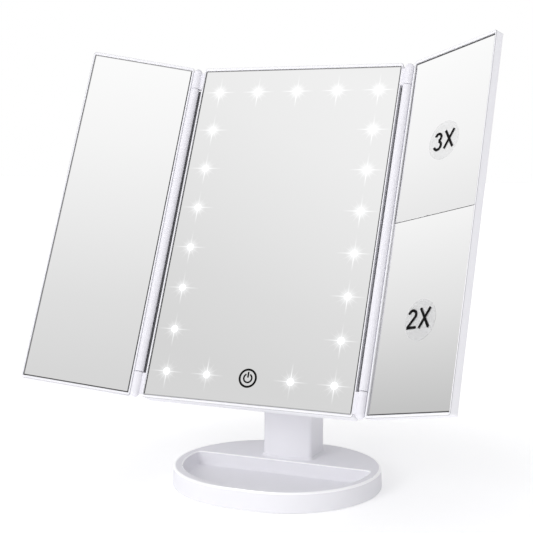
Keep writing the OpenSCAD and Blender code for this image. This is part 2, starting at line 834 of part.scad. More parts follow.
module axle_caps() {
    cap_t = 1.3;
    color(white) for (m = [0, 1]) mirror([m, 0, 0]) along_x(lug_x + lug_t - cap_t, pivot_back, pivot_up)
        cylinder(h = cap_t, r = lug_pocket_r);
}

// ---------- wings ----------

module hinge_pins() {
    inside = 11;
    fixed = pin_reach - 0.5;
    color(steel) for (z = [knuckle_z - inside, -knuckle_z - fixed]) translate([0, 0, z])
        cylinder(h = fixed + inside, r = pin_r);
}

// Border ring, glass ledge and turning column of a wing
module wing_frame() {
    x0 = wing_glass_x;
    x1 = wing_glass_x + wing_glass_w;
    turn_z = knuckle_z - part_gap;
    web_t = 1.6;
    color(white) difference() {
        union() {
            difference() {
                slab(wing_front, wing_back_y) rounded_rect(wing_in, wing_out, -half_ph, half_ph, corner_r);
                slab(wing_front - 1, wing_set + glass_t + 0.1)
                    translate([x0, -half_gh]) square([x1 - x0, glass_h]);
                slab(wing_front - 1, wing_back_y + 1) translate([x0 + ledge_w, -half_gh + ledge_w])
                    square([x1 - x0 - 2 * ledge_w, glass_h - 2 * ledge_w]);
            }
            translate([0, 0, -turn_z]) cylinder(h = 2 * turn_z, r = knuckle_r);
            translate([0, knuckle_r - web_t, -turn_z]) cube([wing_in + 0.8, web_t, 2 * turn_z]);
        }
        for (e = [-1, 1]) translate([0, 0, e > 0 ? turn_z - pin_reach : -turn_z - 1])
            cylinder(h = pin_reach + 1, r = pin_r + run_gap);
    }
}

// A glass of the wing from height z0 to z1
module wing_glass(z0, z1) {
    slab(wing_set, wing_set + glass_t) translate([wing_glass_x + glass_gap, z0])
        square([wing_glass_w - 2 * glass_gap, z1 - z0]);
}

// A magnifying glass: its face is hollowed in rings that follow a sphere of radius r
module magnifier(z0, z1, r) {
    rise = [for (i = [0 : dish_rings])
        let (d = i * dish_edge / dish_rings) [d, (d * d - dish_edge * dish_edge) / (2 * r)]];
    difference() {
        wing_glass(z0, z1);
        translate([wing_glass_x + wing_glass_w / 2, wing_set, (z0 + z1) / 2]) rotate([90, 0, 0])
            rotate_extrude($fn = 96) polygon(concat(rise, [[dish_edge, 1], [0, 1]]));
    }
}

glass_end = half_gh - glass_gap;
split_gap = 0.15;                   // half of the joint between the two magnifying glasses

module plain_mirror() {
    color(silver) wing_glass(-glass_end, glass_end);
}

module upper_magnifier() {
    color(silver) magnifier(split_z + split_gap, glass_end, dish_r3);
}

module lower_magnifier() {
    color(silver) magnifier(-glass_end, split_z - split_gap, dish_r2);
}

module wing_back() {
    color(white) soft_back(wing_in, wing_out, -half_ph, half_ph, wing_back_y, wing_back_y + wing_back_t, 1);
}

module wing_pads() {
    pad_w = 14;
    pad_h = 82;
    inset = 12;
    color(foam_grey) for (x = [inset, wing_glass_w - inset - pad_w], z = [-96, 14])
        translate([wing_glass_x + x, wing_set + glass_t, z]) cube([pad_w, wing_wall_d - glass_t, pad_h]);
}

// ---------- magnification labels ----------

label_x = 40.6;
label_3x_z = 55.2;
label_2x_z = -61.4;
label_3x_y = wing_set + 0.32;       // each label's back: its edge meets the hollowed glass here
label_2x_y = wing_set + 0.25;
label_r = 13;
label_t = 0.2;
digit_h = 11.4;
digit_w = 6.6;
stroke = 1.55;
mark_3x_grow = [1.08, 1.06];
mark_2x_grow = [1.2, 1.09];          // the lower mark is drawn larger and sits off the middle
mark_2x_shift = [-1.4, 1];

module label_disc(y, z) {
    color([0.9, 0.9, 0.9, 0.5]) translate([label_x, 0, z]) slab(y - label_t, y) circle(label_r);
}

module label_mark(y, z) {
    color(print_black) translate([label_x, 0, z]) slab(y - 2 * label_t, y - label_t) children();
}

// A straight stroke with square ends from a to b
module line_2d(a, b) {
    run = b - a;
    translate(a) rotate(atan2(run[1], run[0])) translate([0, -stroke / 2]) square([norm(run), stroke]);
}

// An arc of a ring round c, from angle a0 to a1
module arc_2d(c, r, a0, a1) {
    steps = 24;
    step = (a1 - a0) / steps;
    outer = [for (i = [0 : steps]) c + (r + stroke / 2) * [cos(a0 + i * step), sin(a0 + i * step)]];
    inner = [for (i = [steps : -1 : 0]) c + (r - stroke / 2) * [cos(a0 + i * step), sin(a0 + i * step)]];
    polygon(concat(outer, inner));
}

module digit_three() {
    r = digit_h / 4 - stroke / 8;
    top = [0, digit_h / 4 - stroke / 8];
    low = [0, -digit_h / 4 + stroke / 8];
    arc_2d(top, r - stroke / 4, -80, 165);
    arc_2d(low, r, -165, 80);
}

module digit_two() {
    r = digit_w / 2 - stroke / 2;
    top = [0, digit_h / 2 - stroke / 2 - r];
    foot = [-digit_w / 2, -digit_h / 2 + stroke / 2];
    arc_2d(top, r, -38, 170);
    line_2d(foot + [0.3, 0], top + r * [cos(-38), sin(-38)] + [0.05, 0.1]);
    line_2d(foot, foot + [digit_w, 0]);
}

module letter_x() {
    w = digit_w * 0.52;
    h = digit_h / 2;
    line_2d([-w, -h], [w, h]);
    line_2d([-w, h], [w, -h]);
}

module mark_pair() {
    translate([-4.6, 0]) children();
    translate([4.4, 0]) letter_x();
}

module mark_3x() {
    label_mark(label_3x_y, label_3x_z) scale(mark_3x_grow) mark_pair() digit_three();
}

module mark_2x() {
    label_mark(label_2x_y, label_2x_z)
        translate(mark_2x_shift) scale(mark_2x_grow) mark_pair() digit_two();
}

// ---------- nodes ----------

base_shell();
base_plate();
base_mat();
base_screws();
neck_column();
neck_back_cover();
neck_cover_screws();
neck_foot_screws();
axle_bush();
on_head() center_bezel();
on_head() center_mirror();
on_head() led_windows();
on_head() led_chips();
on_head() light_board();
on_head() mirror_pads();
on_head() chassis_plate();
on_head() touch_sensor();
on_head() touch_symbol();
on_head() control_board();
on_head() control_parts();
on_head() usb_socket();
on_head() wiring();
on_head() rear_cover();
on_head() rear_screws();
on_head() battery_holder();
on_head() battery_cells();
on_head() battery_contacts();
on_head() battery_cover();
on_head() tilt_bracket();
on_head() bracket_screws();
on_head() tilt_bolt();
on_head() tilt_nut();
on_head() friction_washers();
on_head() axle_caps();
on_left_wing() hinge_pins();  // left_hinge_pins
on_right_wing() hinge_pins();  // right_hinge_pins
on_left_wing() wing_frame();  // left_wing_frame
on_left_wing() plain_mirror();  // left_wing_mirror
on_left_wing() wing_pads();  // left_wing_pads
on_left_wing() wing_back();  // left_wing_back
on_right_wing() wing_frame();  // right_wing_frame
on_right_wing() upper_magnifier();  // mirror_3x
on_right_wing() lower_magnifier();  // mirror_2x
on_right_wing() wing_pads();  // right_wing_pads
on_right_wing() wing_back();  // right_wing_back
on_right_wing() label_disc(label_3x_y, label_3x_z);  // label_3x
on_right_wing() label_disc(label_2x_y, label_2x_z);  // label_2x
on_right_wing() mark_3x();  // label_3x_mark
on_right_wing() mark_2x();  // label_2x_mark
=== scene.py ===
"""The looks of the lighted table mirror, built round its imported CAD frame."""

import json
import math

import bmesh
import bpy
from mathutils import Matrix, Vector


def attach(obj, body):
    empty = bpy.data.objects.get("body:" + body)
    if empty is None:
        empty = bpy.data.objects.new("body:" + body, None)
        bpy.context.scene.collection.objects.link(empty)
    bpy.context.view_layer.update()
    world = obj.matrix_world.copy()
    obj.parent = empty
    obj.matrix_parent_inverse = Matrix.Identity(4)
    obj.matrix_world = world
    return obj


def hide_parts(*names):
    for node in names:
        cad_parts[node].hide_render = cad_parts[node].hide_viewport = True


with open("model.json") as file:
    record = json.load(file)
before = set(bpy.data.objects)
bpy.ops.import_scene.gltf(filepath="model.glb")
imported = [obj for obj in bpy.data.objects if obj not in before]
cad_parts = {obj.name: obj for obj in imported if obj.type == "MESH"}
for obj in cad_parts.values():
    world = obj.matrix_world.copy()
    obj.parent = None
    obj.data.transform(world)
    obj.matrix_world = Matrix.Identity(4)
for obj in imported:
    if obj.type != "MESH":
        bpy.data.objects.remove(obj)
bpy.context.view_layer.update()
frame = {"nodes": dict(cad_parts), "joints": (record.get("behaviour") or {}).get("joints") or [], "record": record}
nodes = frame["nodes"]
joints = {j["name"]: j for j in frame["joints"]}
MM = 0.001


# ---------- frames of the head and of each wing ----------


def basis(across, back, up, origin):
    """Matrix from a panel's own millimetres to the row frame's metres."""
    columns = [across * MM, back * MM, up * MM]
    rows = [[c[i] for c in columns] + [origin[i]] for i in range(3)]
    return Matrix(rows + [[0, 0, 0, 1]])


UP = Vector(joints["left_fold"]["axis"]).normalized()
ACROSS = Vector((1, 0, 0))
BACK = UP.cross(ACROSS)
HINGE_R = Vector(joints["right_fold"]["pos_m"])
HINGE_L = Vector(joints["left_fold"]["pos_m"])
FOLD_R = -math.radians(joints["right_fold"]["range_deg"][0])
FOLD_L = -math.radians(joints["left_fold"]["range_deg"][0])
HINGE_FRONT = 1.0  # how far the hinge axes lie in front of the centre glass

CENTRE = (HINGE_L + HINGE_R) / 2 + BACK * HINGE_FRONT * MM
HEAD = basis(ACROSS, BACK, UP, CENTRE)


def wing_basis(side, fold, hinge):
    out = ACROSS * side * math.cos(fold) - BACK * math.sin(fold)
    back = ACROSS * side * math.sin(fold) + BACK * math.cos(fold)
    return basis(out, back, UP, hinge)


RIGHT_WING = wing_basis(1, FOLD_R, HINGE_R)
LEFT_WING = wing_basis(-1, FOLD_L, HINGE_L)


def extent(node, place):
    """Lowest and highest corner of a CAD node in a panel's own millimetres."""
    inverse = place.inverted()
    points = [inverse @ v.co for v in nodes[node].data.vertices]
    low = Vector([min(p[i] for p in points) for i in range(3)])
    high = Vector([max(p[i] for p in points) for i in range(3)])
    return low, high


GLASS_LOW, GLASS_HIGH = extent("center_mirror", HEAD)
GLASS_HALF_W = GLASS_HIGH.x
GLASS_HALF_H = GLASS_HIGH.z


# ---------- node materials ----------


class Shader:
    """A material whose nodes are made and joined by short calls."""

    def __init__(self, name):
        self.material = bpy.data.materials.new(name)
        self.material.use_nodes = True
        self.tree = self.material.node_tree
        self.bsdf = self.tree.nodes["Principled BSDF"]
        self.position = self.add("ShaderNodeTexCoord").outputs["Object"]

    @classmethod
    def inside(cls, tree):
        """The same calls for a tree that isn't a material's, such as the world's or a lamp's."""
        shader = cls.__new__(cls)
        shader.tree = tree
        return shader

    def add(self, kind, **settings):
        node = self.tree.nodes.new(kind)
        for key, value in settings.items():
            setattr(node, key, value)
        return node

    def link(self, value, socket):
        if hasattr(value, "is_output"):
            self.tree.links.new(value, socket)
        else:
            socket.default_value = value

    def math(self, operation, a, b=0.0, clamp=False):
        node = self.add("ShaderNodeMath", operation=operation, use_clamp=clamp)
        self.link(a, node.inputs[0])
        self.link(b, node.inputs[1])
        return node.outputs[0]

    def remap(self, value, low, high, to_low, to_high, smooth=True):
        node = self.add("ShaderNodeMapRange", interpolation_type="SMOOTHSTEP" if smooth else "LINEAR")
        for socket, v in zip(node.inputs, (value, low, high, to_low, to_high)):
            self.link(v, socket)
        return node.outputs["Result"]

    def noise(self, scale, detail=3.0, roughness=0.5, stretch=(1, 1, 1)):
        place = self.add("ShaderNodeMapping")
        place.inputs["Scale"].default_value = stretch
        self.link(self.position, place.inputs["Vector"])
        node = self.add("ShaderNodeTexNoise")
        self.link(place.outputs[0], node.inputs["Vector"])
        node.inputs["Scale"].default_value = scale
        node.inputs["Detail"].default_value = detail
        node.inputs["Roughness"].default_value = roughness
        return node.outputs["Fac"]

    def ramp(self, value, stops):
        node = self.add("ShaderNodeValToRGB")
        elements = node.color_ramp.elements
        while len(elements) < len(stops):
            elements.new(0.5)
        for element, (place, colour) in zip(elements, stops):
            element.position = place
            element.color = (*colour, 1)
        self.link(value, node.inputs[0])
        return node.outputs["Color"]

    def mix(self, factor, a, b):
        node = self.add("ShaderNodeMix", data_type="RGBA")
        self.link(factor, node.inputs["Factor"])
        for value, socket in ((a, node.inputs[6]), (b, node.inputs[7])):
            self.link(value if hasattr(value, "is_output") else (*value, 1), socket)
        return node.outputs[2]

    def bump(self, height, strength, distance):
        node = self.add("ShaderNodeBump")
        node.inputs["Strength"].default_value = strength
        node.inputs["Distance"].default_value = distance
        self.link(height, node.inputs["Height"])
        self.link(node.outputs["Normal"], self.bsdf.inputs["Normal"])

    def unsampled(self):
        """Leave the material's glow out of lamp sampling: it is large or faint, and found well enough by chance."""
        self.material.cycles.emission_sampling = "NONE"

    def set(self, **values):
        names = {"colour": "Base Color", "roughness": "Roughness", "metallic": "Metallic", "coat": "Coat Weight",
                 "coat_roughness": "Coat Roughness", "alpha": "Alpha", "glow": "Emission Color",
                 "glow_strength": "Emission Strength", "specular": "Specular IOR Level"}
        for key, value in values.items():
            if isinstance(value, tuple) and len(value) == 3:
                value = (*value, 1)
            self.link(value, self.bsdf.inputs[names[key]])

    def along(self, origin, direction):
        """Distance in millimetres from a point along a direction, on the object as it rests."""
        shift = self.add("ShaderNodeVectorMath", operation="SUBTRACT")
        self.link(self.position, shift.inputs[0])
        shift.inputs[1].default_value = origin
        dot = self.add("ShaderNodeVectorMath", operation="DOT_PRODUCT")
        self.link(shift.outputs[0], dot.inputs[0])
        dot.inputs[1].default_value = direction / MM
        return dot.outputs["Value"]


def moulded(name, colour, roughness=0.24, grain=0.02, tint=0.02, coat=0.25, specular=0.5, glow=0.0):
    """Moulded plastic: faint flow marks in the colour and a fine orange-peel surface."""
    s = Shader(name)
    flow = s.noise(38, 4, 0.6)
    darker = tuple(c * (1 - tint) for c in colour)
    s.set(colour=s.mix(flow, darker, colour), coat=coat, coat_roughness=0.12, specular=specular,
          glow=(1.0, 1.0, 1.0), glow_strength=glow,
          roughness=s.remap(s.noise(160, 3), 0.3, 0.7, roughness * 0.9, roughness * 1.1))
    s.bump(s.noise(1400, 2), grain, 0.0001)
    return s.material


def matt(name, colour, roughness=0.3, grain=0.01, tint=0.006):
    """Moulded plastic without any gloss."""
    return moulded(name, colour, roughness, grain, tint, coat=0.0, specular=0.0)


def metal(name, colour, roughness=0.3, brush=(1, 1, 1)):
    """Plated or brushed metal, with fine streaks along one direction."""
    s = Shader(name)
    streak = s.noise(1500, 3, 0.6, brush)
    s.set(metallic=1.0, colour=s.mix(streak, tuple(c * 0.82 for c in colour), colour),
          roughness=s.remap(streak, 0.25, 0.75, roughness * 0.7, roughness * 1.3))
    s.bump(streak, 0.06, 0.0001)
    return s.material


def rubbery(name, colour, roughness=0.7, scale=1200, strength=0.2):
    """Rubber, foam or paint with a fine matt texture."""
    s = Shader(name)
    grain = s.noise(scale, 4, 0.65)
    s.set(colour=s.mix(grain, tuple(c * 0.75 for c in colour), colour),
          roughness=s.remap(grain, 0.2, 0.8, roughness * 0.85, min(1, roughness * 1.1)))
    s.bump(grain, strength, 0.0004)
    return s.material


# ---------- mirror glass ----------

SILVER = (0.965, 0.965, 0.965)
PAINTED_EDGE_LINE = 0.6  # usual width of the painted shade line along a pane's edge
EDGE_FADE = 0.3
LIGHT_X = 59.0
LIGHT_Z = 101.5
LIGHT_R = 2.4
LIGHT_REACH = 12.5
COOL_WHITE = (0.97, 0.985, 1.0)
COLUMN_STEP = 2 * LIGHT_Z / 7
ROW_STEP = LIGHT_X / 2
# painted flare rays of a light on the glass: how many, their turn, how thin, how long as a share of the reach, how
# bright
RAYS = ((4, 0.0, 26.0, 1.0, 0.22), (12, 0.0, 3.6, 0.72, 0.13), (12, math.radians(15), 4.0, 0.5, 0.07))


def silver_with_painted_light(s, across, upward, x_range, z_range, painted_reflection, edges, dust=0.012):
    """Mirror silver with a painted reflection (a grey ramp up the pane), faint haze, and along each edge a line
    that is partly the glass's own edge and partly painted shade of the gap to the frame; a line lighter than the
    pane is a painted highlight.

    edges gives the line's grey and width on the low-x, high-x, low-z and high-z side, or None for no line.
    """
    height = s.remap(upward, z_range[0], z_range[1], 0.0, 1.0, smooth=False)
    # painted reflection: a grey ramp up the pane stands in for the studio greys the glass would reflect
    colour = s.ramp(height, [(place, tuple(c * level for c in SILVER)) for place, level in painted_reflection])
    sides = ((across, x_range[0], 1), (across, x_range[1], -1), (upward, z_range[0], 1), (upward, z_range[1], -1))
    # painted shade lines along the edges, partly the glass's own edge; a line lighter than the pane is a painted
    # highlight
    for (value, end, way), edge in zip(sides, edges):
        if edge is None:
            continue
        grey, width = edge
        inward = s.math("MULTIPLY", s.math("SUBTRACT", value, end), float(way))
        colour = s.mix(s.remap(inward, width - EDGE_FADE, width, 1.0, 0.0), colour, (grey,) * 3)
    haze = s.noise(60, 4, 0.6)
    s.set(metallic=1.0, colour=colour, roughness=s.remap(haze, 0.35, 0.75, 0.012, 0.012 + dust))


def star(s, dx, dz):
    """Painted glow of one light on the glass: a bright core, a halo, and flare rays that point along the panel and
    across it.
    """
    dist = s.math("SQRT", s.math("ADD", s.math("MULTIPLY", dx, dx), s.math("MULTIPLY", dz, dz)))
    angle = s.math("ARCTAN2", dz, dx)
    core, halo = s.remap(dist, 0.4, 2.95, 0.78, 0.0), s.remap(dist, 2.0, 6.5, 0.12, 0.0)
    total = s.math("ADD", core, halo)
    downward = s.math("SUBTRACT", 1.0, s.math("MULTIPLY", s.math("SINE", angle), 0.35))
    for count, turn, sharp, length, level in RAYS:
        wave = s.math("ABSOLUTE", s.math("COSINE", s.math("MULTIPLY", s.math("ADD", angle, turn), count / 2)))
        spoke = s.math("POWER", wave, s.math("MULTIPLY", dist, sharp))
        fade = s.remap(dist, LIGHT_R * 0.8, length * LIGHT_REACH, level, 0.0, smooth=False)
        ray = s.math("MULTIPLY", s.math("MULTIPLY", spoke, fade), downward)
        total = s.math("ADD", total, ray)
    return total


def cell(s, value, step, offset):
    """Distance to the nearest of a row of points that are a step apart."""
    return s.math("SUBTRACT", s.math("FLOORED_MODULO", s.math("ADD", value, offset + step / 2), step), step / 2)


def light_field(s, across, upward):
    """Painted glow of every light on the glass: two columns and two rows, with no light at the bottom middle."""
    side = s.math("SUBTRACT", s.math("ABSOLUTE", across), LIGHT_X)
    end = s.math("SUBTRACT", s.math("ABSOLUTE", upward), LIGHT_Z)
    columns = star(s, side, cell(s, upward, COLUMN_STEP, LIGHT_Z))
    rows = star(s, cell(s, across, ROW_STEP, 0.0), end)
    near_middle = s.math("LESS_THAN", s.math("ABSOLUTE", across), LIGHT_X - ROW_STEP / 2)
    bottom_middle = s.math("MULTIPLY", s.math("LESS_THAN", s.math("ABSOLUTE", across), ROW_STEP / 2),
                           s.math("LESS_THAN", upward, 0.0))
    rows = s.math("MULTIPLY", rows, s.math("MULTIPLY", near_middle, s.math("SUBTRACT", 1.0, bottom_middle)))
    return s.math("ADD", columns, rows)


def centre_glass():
    s = Shader("lit_mirror")
    across = s.along(CENTRE, ACROSS)
    upward = s.along(CENTRE, UP)
    # painted reflection ramp up the glass; painted shade lines along its edges, darkest beside the columns
    silver_with_painted_light(s, across, upward, (-GLASS_HALF_W, GLASS_HALF_W), (-GLASS_HALF_H, GLASS_HALF_H),
              [(0.0, 1.0), (0.35, 0.97), (1.0, 0.9)],
              ((0.1, 0.65), (0.16, PAINTED_EDGE_LINE), (0.72, PAINTED_EDGE_LINE), (0.28, PAINTED_EDGE_LINE)))
    # painted light: the glass glows with a halo and flare rays round each lamp, though the glass is no lamp
    s.set(glow=COOL_WHITE, glow_strength=light_field(s, across, upward))
    s.unsampled()
    return s.material


def wing_glass(name, place, node, painted_reflection, edges):
    s = Shader(name)
    low, high = extent(node, place)
    origin = place.translation
    out = (place.to_3x3() @ Vector((1, 0, 0))).normalized()
    silver_with_painted_light(s, s.along(origin, out), s.along(origin, UP), (low.x, high.x), (low.z, high.z), painted_reflection, edges)
    return s.material


def light_window():
    """Frosted window over a lamp: it carries on the lamp's glow, with a fine frosting of its own."""
    s = Shader("frosted_light")
    across = s.along(CENTRE, ACROSS)
    upward = s.along(CENTRE, UP)
    frost = s.noise(2500, 3)
    s.set(colour=s.mix(frost, (0.78, 0.8, 0.82), (0.88, 0.89, 0.91)), roughness=0.5, glow=COOL_WHITE,
          glow_strength=light_field(s, across, upward))
    s.unsampled()
    s.bump(frost, 0.25, 0.0002)
    return s.material


def printed(name):
    """Screen-printed black ink with a slightly uneven tone and thickness."""
    s = Shader(name)
    grain = s.noise(3000, 3)
    s.set(colour=s.mix(grain, (0.002, 0.002, 0.002), (0.006, 0.006, 0.006)), specular=0.04,
          roughness=s.remap(grain, 0.2, 0.8, 0.45, 0.6))
    s.bump(grain, 0.1, 0.0001)
    return s.material


def clear_film():
    """Translucent static film with a fine grain."""
    s = Shader("label_film")
    grain = s.noise(700, 3)
    s.set(colour=s.mix(grain, (0.83, 0.83, 0.835), (0.87, 0.87, 0.875)), specular=0.2,
          roughness=s.remap(grain, 0.2, 0.8, 0.3, 0.42), alpha=0.27)
    s.bump(grain, 0.05, 0.0001)
    return s.material


MATERIALS = {
    "white_shell": matt("white_plastic", (0.895, 0.89, 0.925)),
    # painted highlight: a lighter copy of the white plastic with a faint glow of its own, for rounded edges; its
    # extra gloss is real
    "edge_gloss": moulded("painted_highlight_edge", (0.97, 0.965, 0.985), 0.3, 0.01, 0.006, coat=0.1, glow=0.07),
    # painted shade: the base gets a slightly darker copy of the white plastic
    "base_white": matt("base_plastic", (0.87, 0.865, 0.9)),
    # painted shade: the columns get a darker copy of the frame plastic
    "hinge_white": matt("hinge_plastic_shaded", (0.83, 0.82, 0.87), 0.34),
    "hinge_shadow": matt("hinge_shadow", (0.27, 0.27, 0.28), 0.6, 0.0, 0.03),
    # painted shade: grey plastic for the rounded outer edge of each frame
    "edge_shade": matt("edge_painted_shade", (0.5, 0.5, 0.52), 0.4, 0.0, 0.01),
    "light_window": light_window(),
    "led_chip": rubbery("lamp_chip", (0.95, 0.86, 0.45), 0.35),
    "led_board": rubbery("white_mask", (0.82, 0.83, 0.81), 0.4, 900, 0.05),
    "circuit_board": rubbery("green_mask", (0.03, 0.2, 0.08), 0.35, 900, 0.08),
    "black_part": rubbery("black_mould", (0.03, 0.03, 0.033), 0.5),
    "black_print": printed("black_ink"),
    "holder_plastic": moulded("holder_black", (0.045, 0.045, 0.05), 0.45, 0.05),
    "foam": rubbery("foam_tape", (0.62, 0.62, 0.63), 0.95, 1800, 0.5),
    "inner_plate": moulded("inner_plate", (0.72, 0.72, 0.73), 0.4, 0.04),
    "steel": metal("plated_steel", (0.66, 0.67, 0.69)),
    "pin_steel": metal("drawn_steel", (0.7, 0.71, 0.73), 0.22, (1, 1, 0.05)),
    "copper_pad": metal("bare_copper", (0.8, 0.5, 0.28)),
    "cell_sleeve": moulded("cell_sleeve", (0.1, 0.16, 0.24), 0.3, 0.03),
    "wire_jacket": rubbery("wire_jacket", (0.45, 0.02, 0.02), 0.45),
    "bush_plastic": moulded("bush_acetal", (0.8, 0.77, 0.68), 0.4),
    "friction_pad": rubbery("friction_pad", (0.07, 0.07, 0.075)),
    "mat_rubber": rubbery("mat_rubber", (0.05, 0.05, 0.052), 0.85, 1500, 0.5),
    "clear_label": clear_film(),
}
SLOTS = {part["node"]: part["material_slot"] for part in frame["record"]["subparts"]}


def paint(obj, material):
    obj.data.materials.clear()
    obj.data.materials.append(material)
    for polygon in obj.data.polygons:
        polygon.material_index = 0


def paint_nodes():
    for name, obj in nodes.items():
        slot = SLOTS[name]
        if slot in MATERIALS:
            paint(obj, MATERIALS[slot])
        for polygon in obj.data.polygons:
            polygon.use_smooth = True
        obj.data.set_sharp_from_angle(angle=math.radians(32))
    paint(nodes["center_mirror"], centre_glass())
    # each pane's grey ramp is painted reflection; its edge lines are painted shade, and a painted highlight where
    # lighter than the pane
    panes = {
        "left_wing_mirror": (LEFT_WING, [(0.0, 1.0), (1.0, 1.0)],
                             ((0.14, PAINTED_EDGE_LINE), (0.42, PAINTED_EDGE_LINE), (0.1, PAINTED_EDGE_LINE), (0.45, PAINTED_EDGE_LINE))),
        "mirror_3x": (RIGHT_WING, [(0.0, 0.84), (0.4, 0.93), (1.0, 1.0)],
                      ((0.04, 0.85), (0.5, PAINTED_EDGE_LINE), None, (0.03, 1.05))),
        "mirror_2x": (RIGHT_WING, [(0.0, 0.56), (0.5, 0.78), (1.0, 0.94)],
                      ((0.45, PAINTED_EDGE_LINE), (0.5, PAINTED_EDGE_LINE), (0.12, PAINTED_EDGE_LINE), (0.95, PAINTED_EDGE_LINE))),
    }
    for node, (place, painted_reflection, edges) in panes.items():
        paint(nodes[node], wing_glass(node + "_silver_painted_light", place, node, painted_reflection, edges))


paint_nodes()


# ---------- mesh pieces ----------


def rounded(x0, x1, z0, z1, radius, steps=6):
    """Points round a rectangle with rounded corners, as pairs of x and z."""
    corners = [(x1 - radius, z1 - radius, 0), (x0 + radius, z1 - radius, 90),
               (x0 + radius, z0 + radius, 180), (x1 - radius, z0 + radius, 270)]
    points = []
    for cx, cz, start in corners:
        for i in range(steps + 1):
            a = math.radians(start + 90 * i / steps)
            points.append((cx + radius * math.cos(a), cz + radius * math.sin(a)))
    return points


def quarter(steps=4):
    """Fractions along and across a quarter round, from its first tangent to its second."""
    return [(math.sin(math.pi / 2 * i / steps), 1 - math.cos(math.pi / 2 * i / steps)) for i in range(steps + 1)]


def loft(mesh, loops, first_cap=False, last_cap=False, closed=False):
    """Skin a list of equal loops of 3D points; closed joins the last loop to the first."""
    rows = [[mesh.verts.new(p) for p in loop] for loop in loops]
    pairs = list(zip(rows, rows[1:])) + ([(rows[-1], rows[0])] if closed else [])
    for a, b in pairs:
        for i in range(len(a)):
            j = (i + 1) % len(a)
            mesh.faces.new((a[i], a[j], b[j], b[i]))
    if first_cap:
        mesh.faces.new(list(reversed(rows[0])))
    if last_cap:
        mesh.faces.new(rows[-1])


def turned(mesh, profile, centre, steps=40):
    """Turn a profile of (radius, height) pairs round a line along z; a pair with radius 0 ends in a point."""
    loops = []
    for radius, height in profile:
        ring = [(centre[0] + radius * math.cos(2 * math.pi * i / steps),
                 centre[1] + radius * math.sin(2 * math.pi * i / steps), height) for i in range(steps)]
        loops.append(ring)
    loft(mesh, loops, True, True)


def box(mesh, low, high, round_r=0.25):
    """Box with rounded long edges, its length along z."""
    loops = []
    for z, inset in ((low[2], round_r), (low[2] + round_r, 0), (high[2] - round_r, 0), (high[2], round_r)):
        outline = rounded(low[0] + inset, high[0] - inset, low[1] + inset, high[1] - inset, round_r, 3)
        loops.append([(x, y, z) for x, y in outline])
    loft(mesh, loops, True, True)


def paint_from(mesh, start, index):
    """Give every face made since a given count another of the piece's materials."""
    mesh.faces.ensure_lookup_table()
    for face in mesh.faces[start:]:
        face.material_index = index


def piece(name, mesh, place, body, materials, node, sharp=40):
    """Finish a mesh drawn in a panel's millimetres as a visible piece that stands in for a CAD node."""
    bmesh.ops.remove_doubles(mesh, verts=mesh.verts, dist=1e-5)
    bmesh.ops.recalc_face_normals(mesh, faces=mesh.faces)
    data = bpy.data.meshes.new(name)
    mesh.to_mesh(data)
    mesh.free()
    data.transform(place)
    if place.to_3x3().determinant() < 0:
        data.flip_normals()
    for polygon in data.polygons:
        polygon.use_smooth = True
    data.set_sharp_from_angle(angle=math.radians(sharp))
    obj = bpy.data.objects.new(name, data)
    bpy.context.scene.collection.objects.link(obj)
    for material in materials:
        data.materials.append(material)
    even_shading(obj)
    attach(obj, body)
    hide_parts(node)
    return obj


def even_shading(obj):
    shade = obj.modifiers.new("even_shading", "WEIGHTED_NORMAL")
    shade.keep_sharp = True
    shade.weight = 60


PANEL_HALF_H = extent("rear_cover", HEAD)[1].z
PANEL_HALF_W = extent("rear_cover", HEAD)[1].x
HINGE_X = (HINGE_R.x - HINGE_L.x) / 2 / MM
KNUCKLE_R = 3.0
KNUCKLE_Z = 104.0
KNUCKLE_GAP = 0.4
END_SOFT = 0.35
TOP_DOME_IN = 4.0  # how far the knuckles' domes start inside the panel's top and bottom
FOOT_DOME_IN = 2.4
WEB_IN = 0.8  # how far the webs to the knuckles start inside the panel's side
WEB_THICK = 1.6
WING_WEB_REACH = 1.1
WING_GAP = 0.3  # between a wing's column and its border
CORNER_R = 1.6
GLASS_GAP = 0.4
LIP_PROUD = 0.8  # how far a border stands in front of its glass
LEDGE_Y = 2.1  # how far the glass's ledge lies behind the glass's face
BEZEL_BACK = 7.0
SHADE_STRIP_Y = (2.6, 4.0)  # front and back of the dark strip, painted as shadow, that closes the gap behind a column
SHADE_STRIP_REACH = 2.6
# places in FRAME_PAINTS
HINGE_PAINT, EDGE_SHADE_PAINT, SHADOW_PAINT = 1, 2, 3


def border(mesh, outer, opening, front, ledge, back, lip_r=0.38):
    """Border ring: rounded lip with a painted shade line round its outer edge, inner wall down to a ledge, plain
    back.
    """
    x0, x1, z0, z1 = outer
    a0, a1, b0, b1 = opening
    ledge_in, ledge_thick = 2.5, 1.2

    def ring(y, inset, radius=CORNER_R):
        return [(x, y, z) for x, z in rounded(x0 + inset, x1 - inset, z0 + inset, z1 - inset, radius - inset * 0.5)]

    def hole(y, grow, radius=0.5):
        return [(x, y, z) for x, z in rounded(a0 - grow, a1 + grow, b0 - grow, b1 + grow, radius)]

    loops = [ring(back, 0.0)]
    loops += [ring(front + lip_r * (1 - s), lip_r * c) for s, c in quarter()]
    loops += [hole(front + lip_r * c, lip_r * (1 - s)) for s, c in quarter()]
    ledge_back = ledge + ledge_thick
    loops += [hole(ledge, 0.0), hole(ledge, -ledge_in), hole(ledge_back, -ledge_in), hole(ledge_back, 0.0),
              hole(back, 0.0)]
    loft(mesh, loops, closed=True)
    count = len(loops[0])
    # painted shade on the lip's outer rounding
    mesh.faces.ensure_lookup_table()
    for face in mesh.faces[count:4 * count]:
        face.material_index = EDGE_SHADE_PAINT


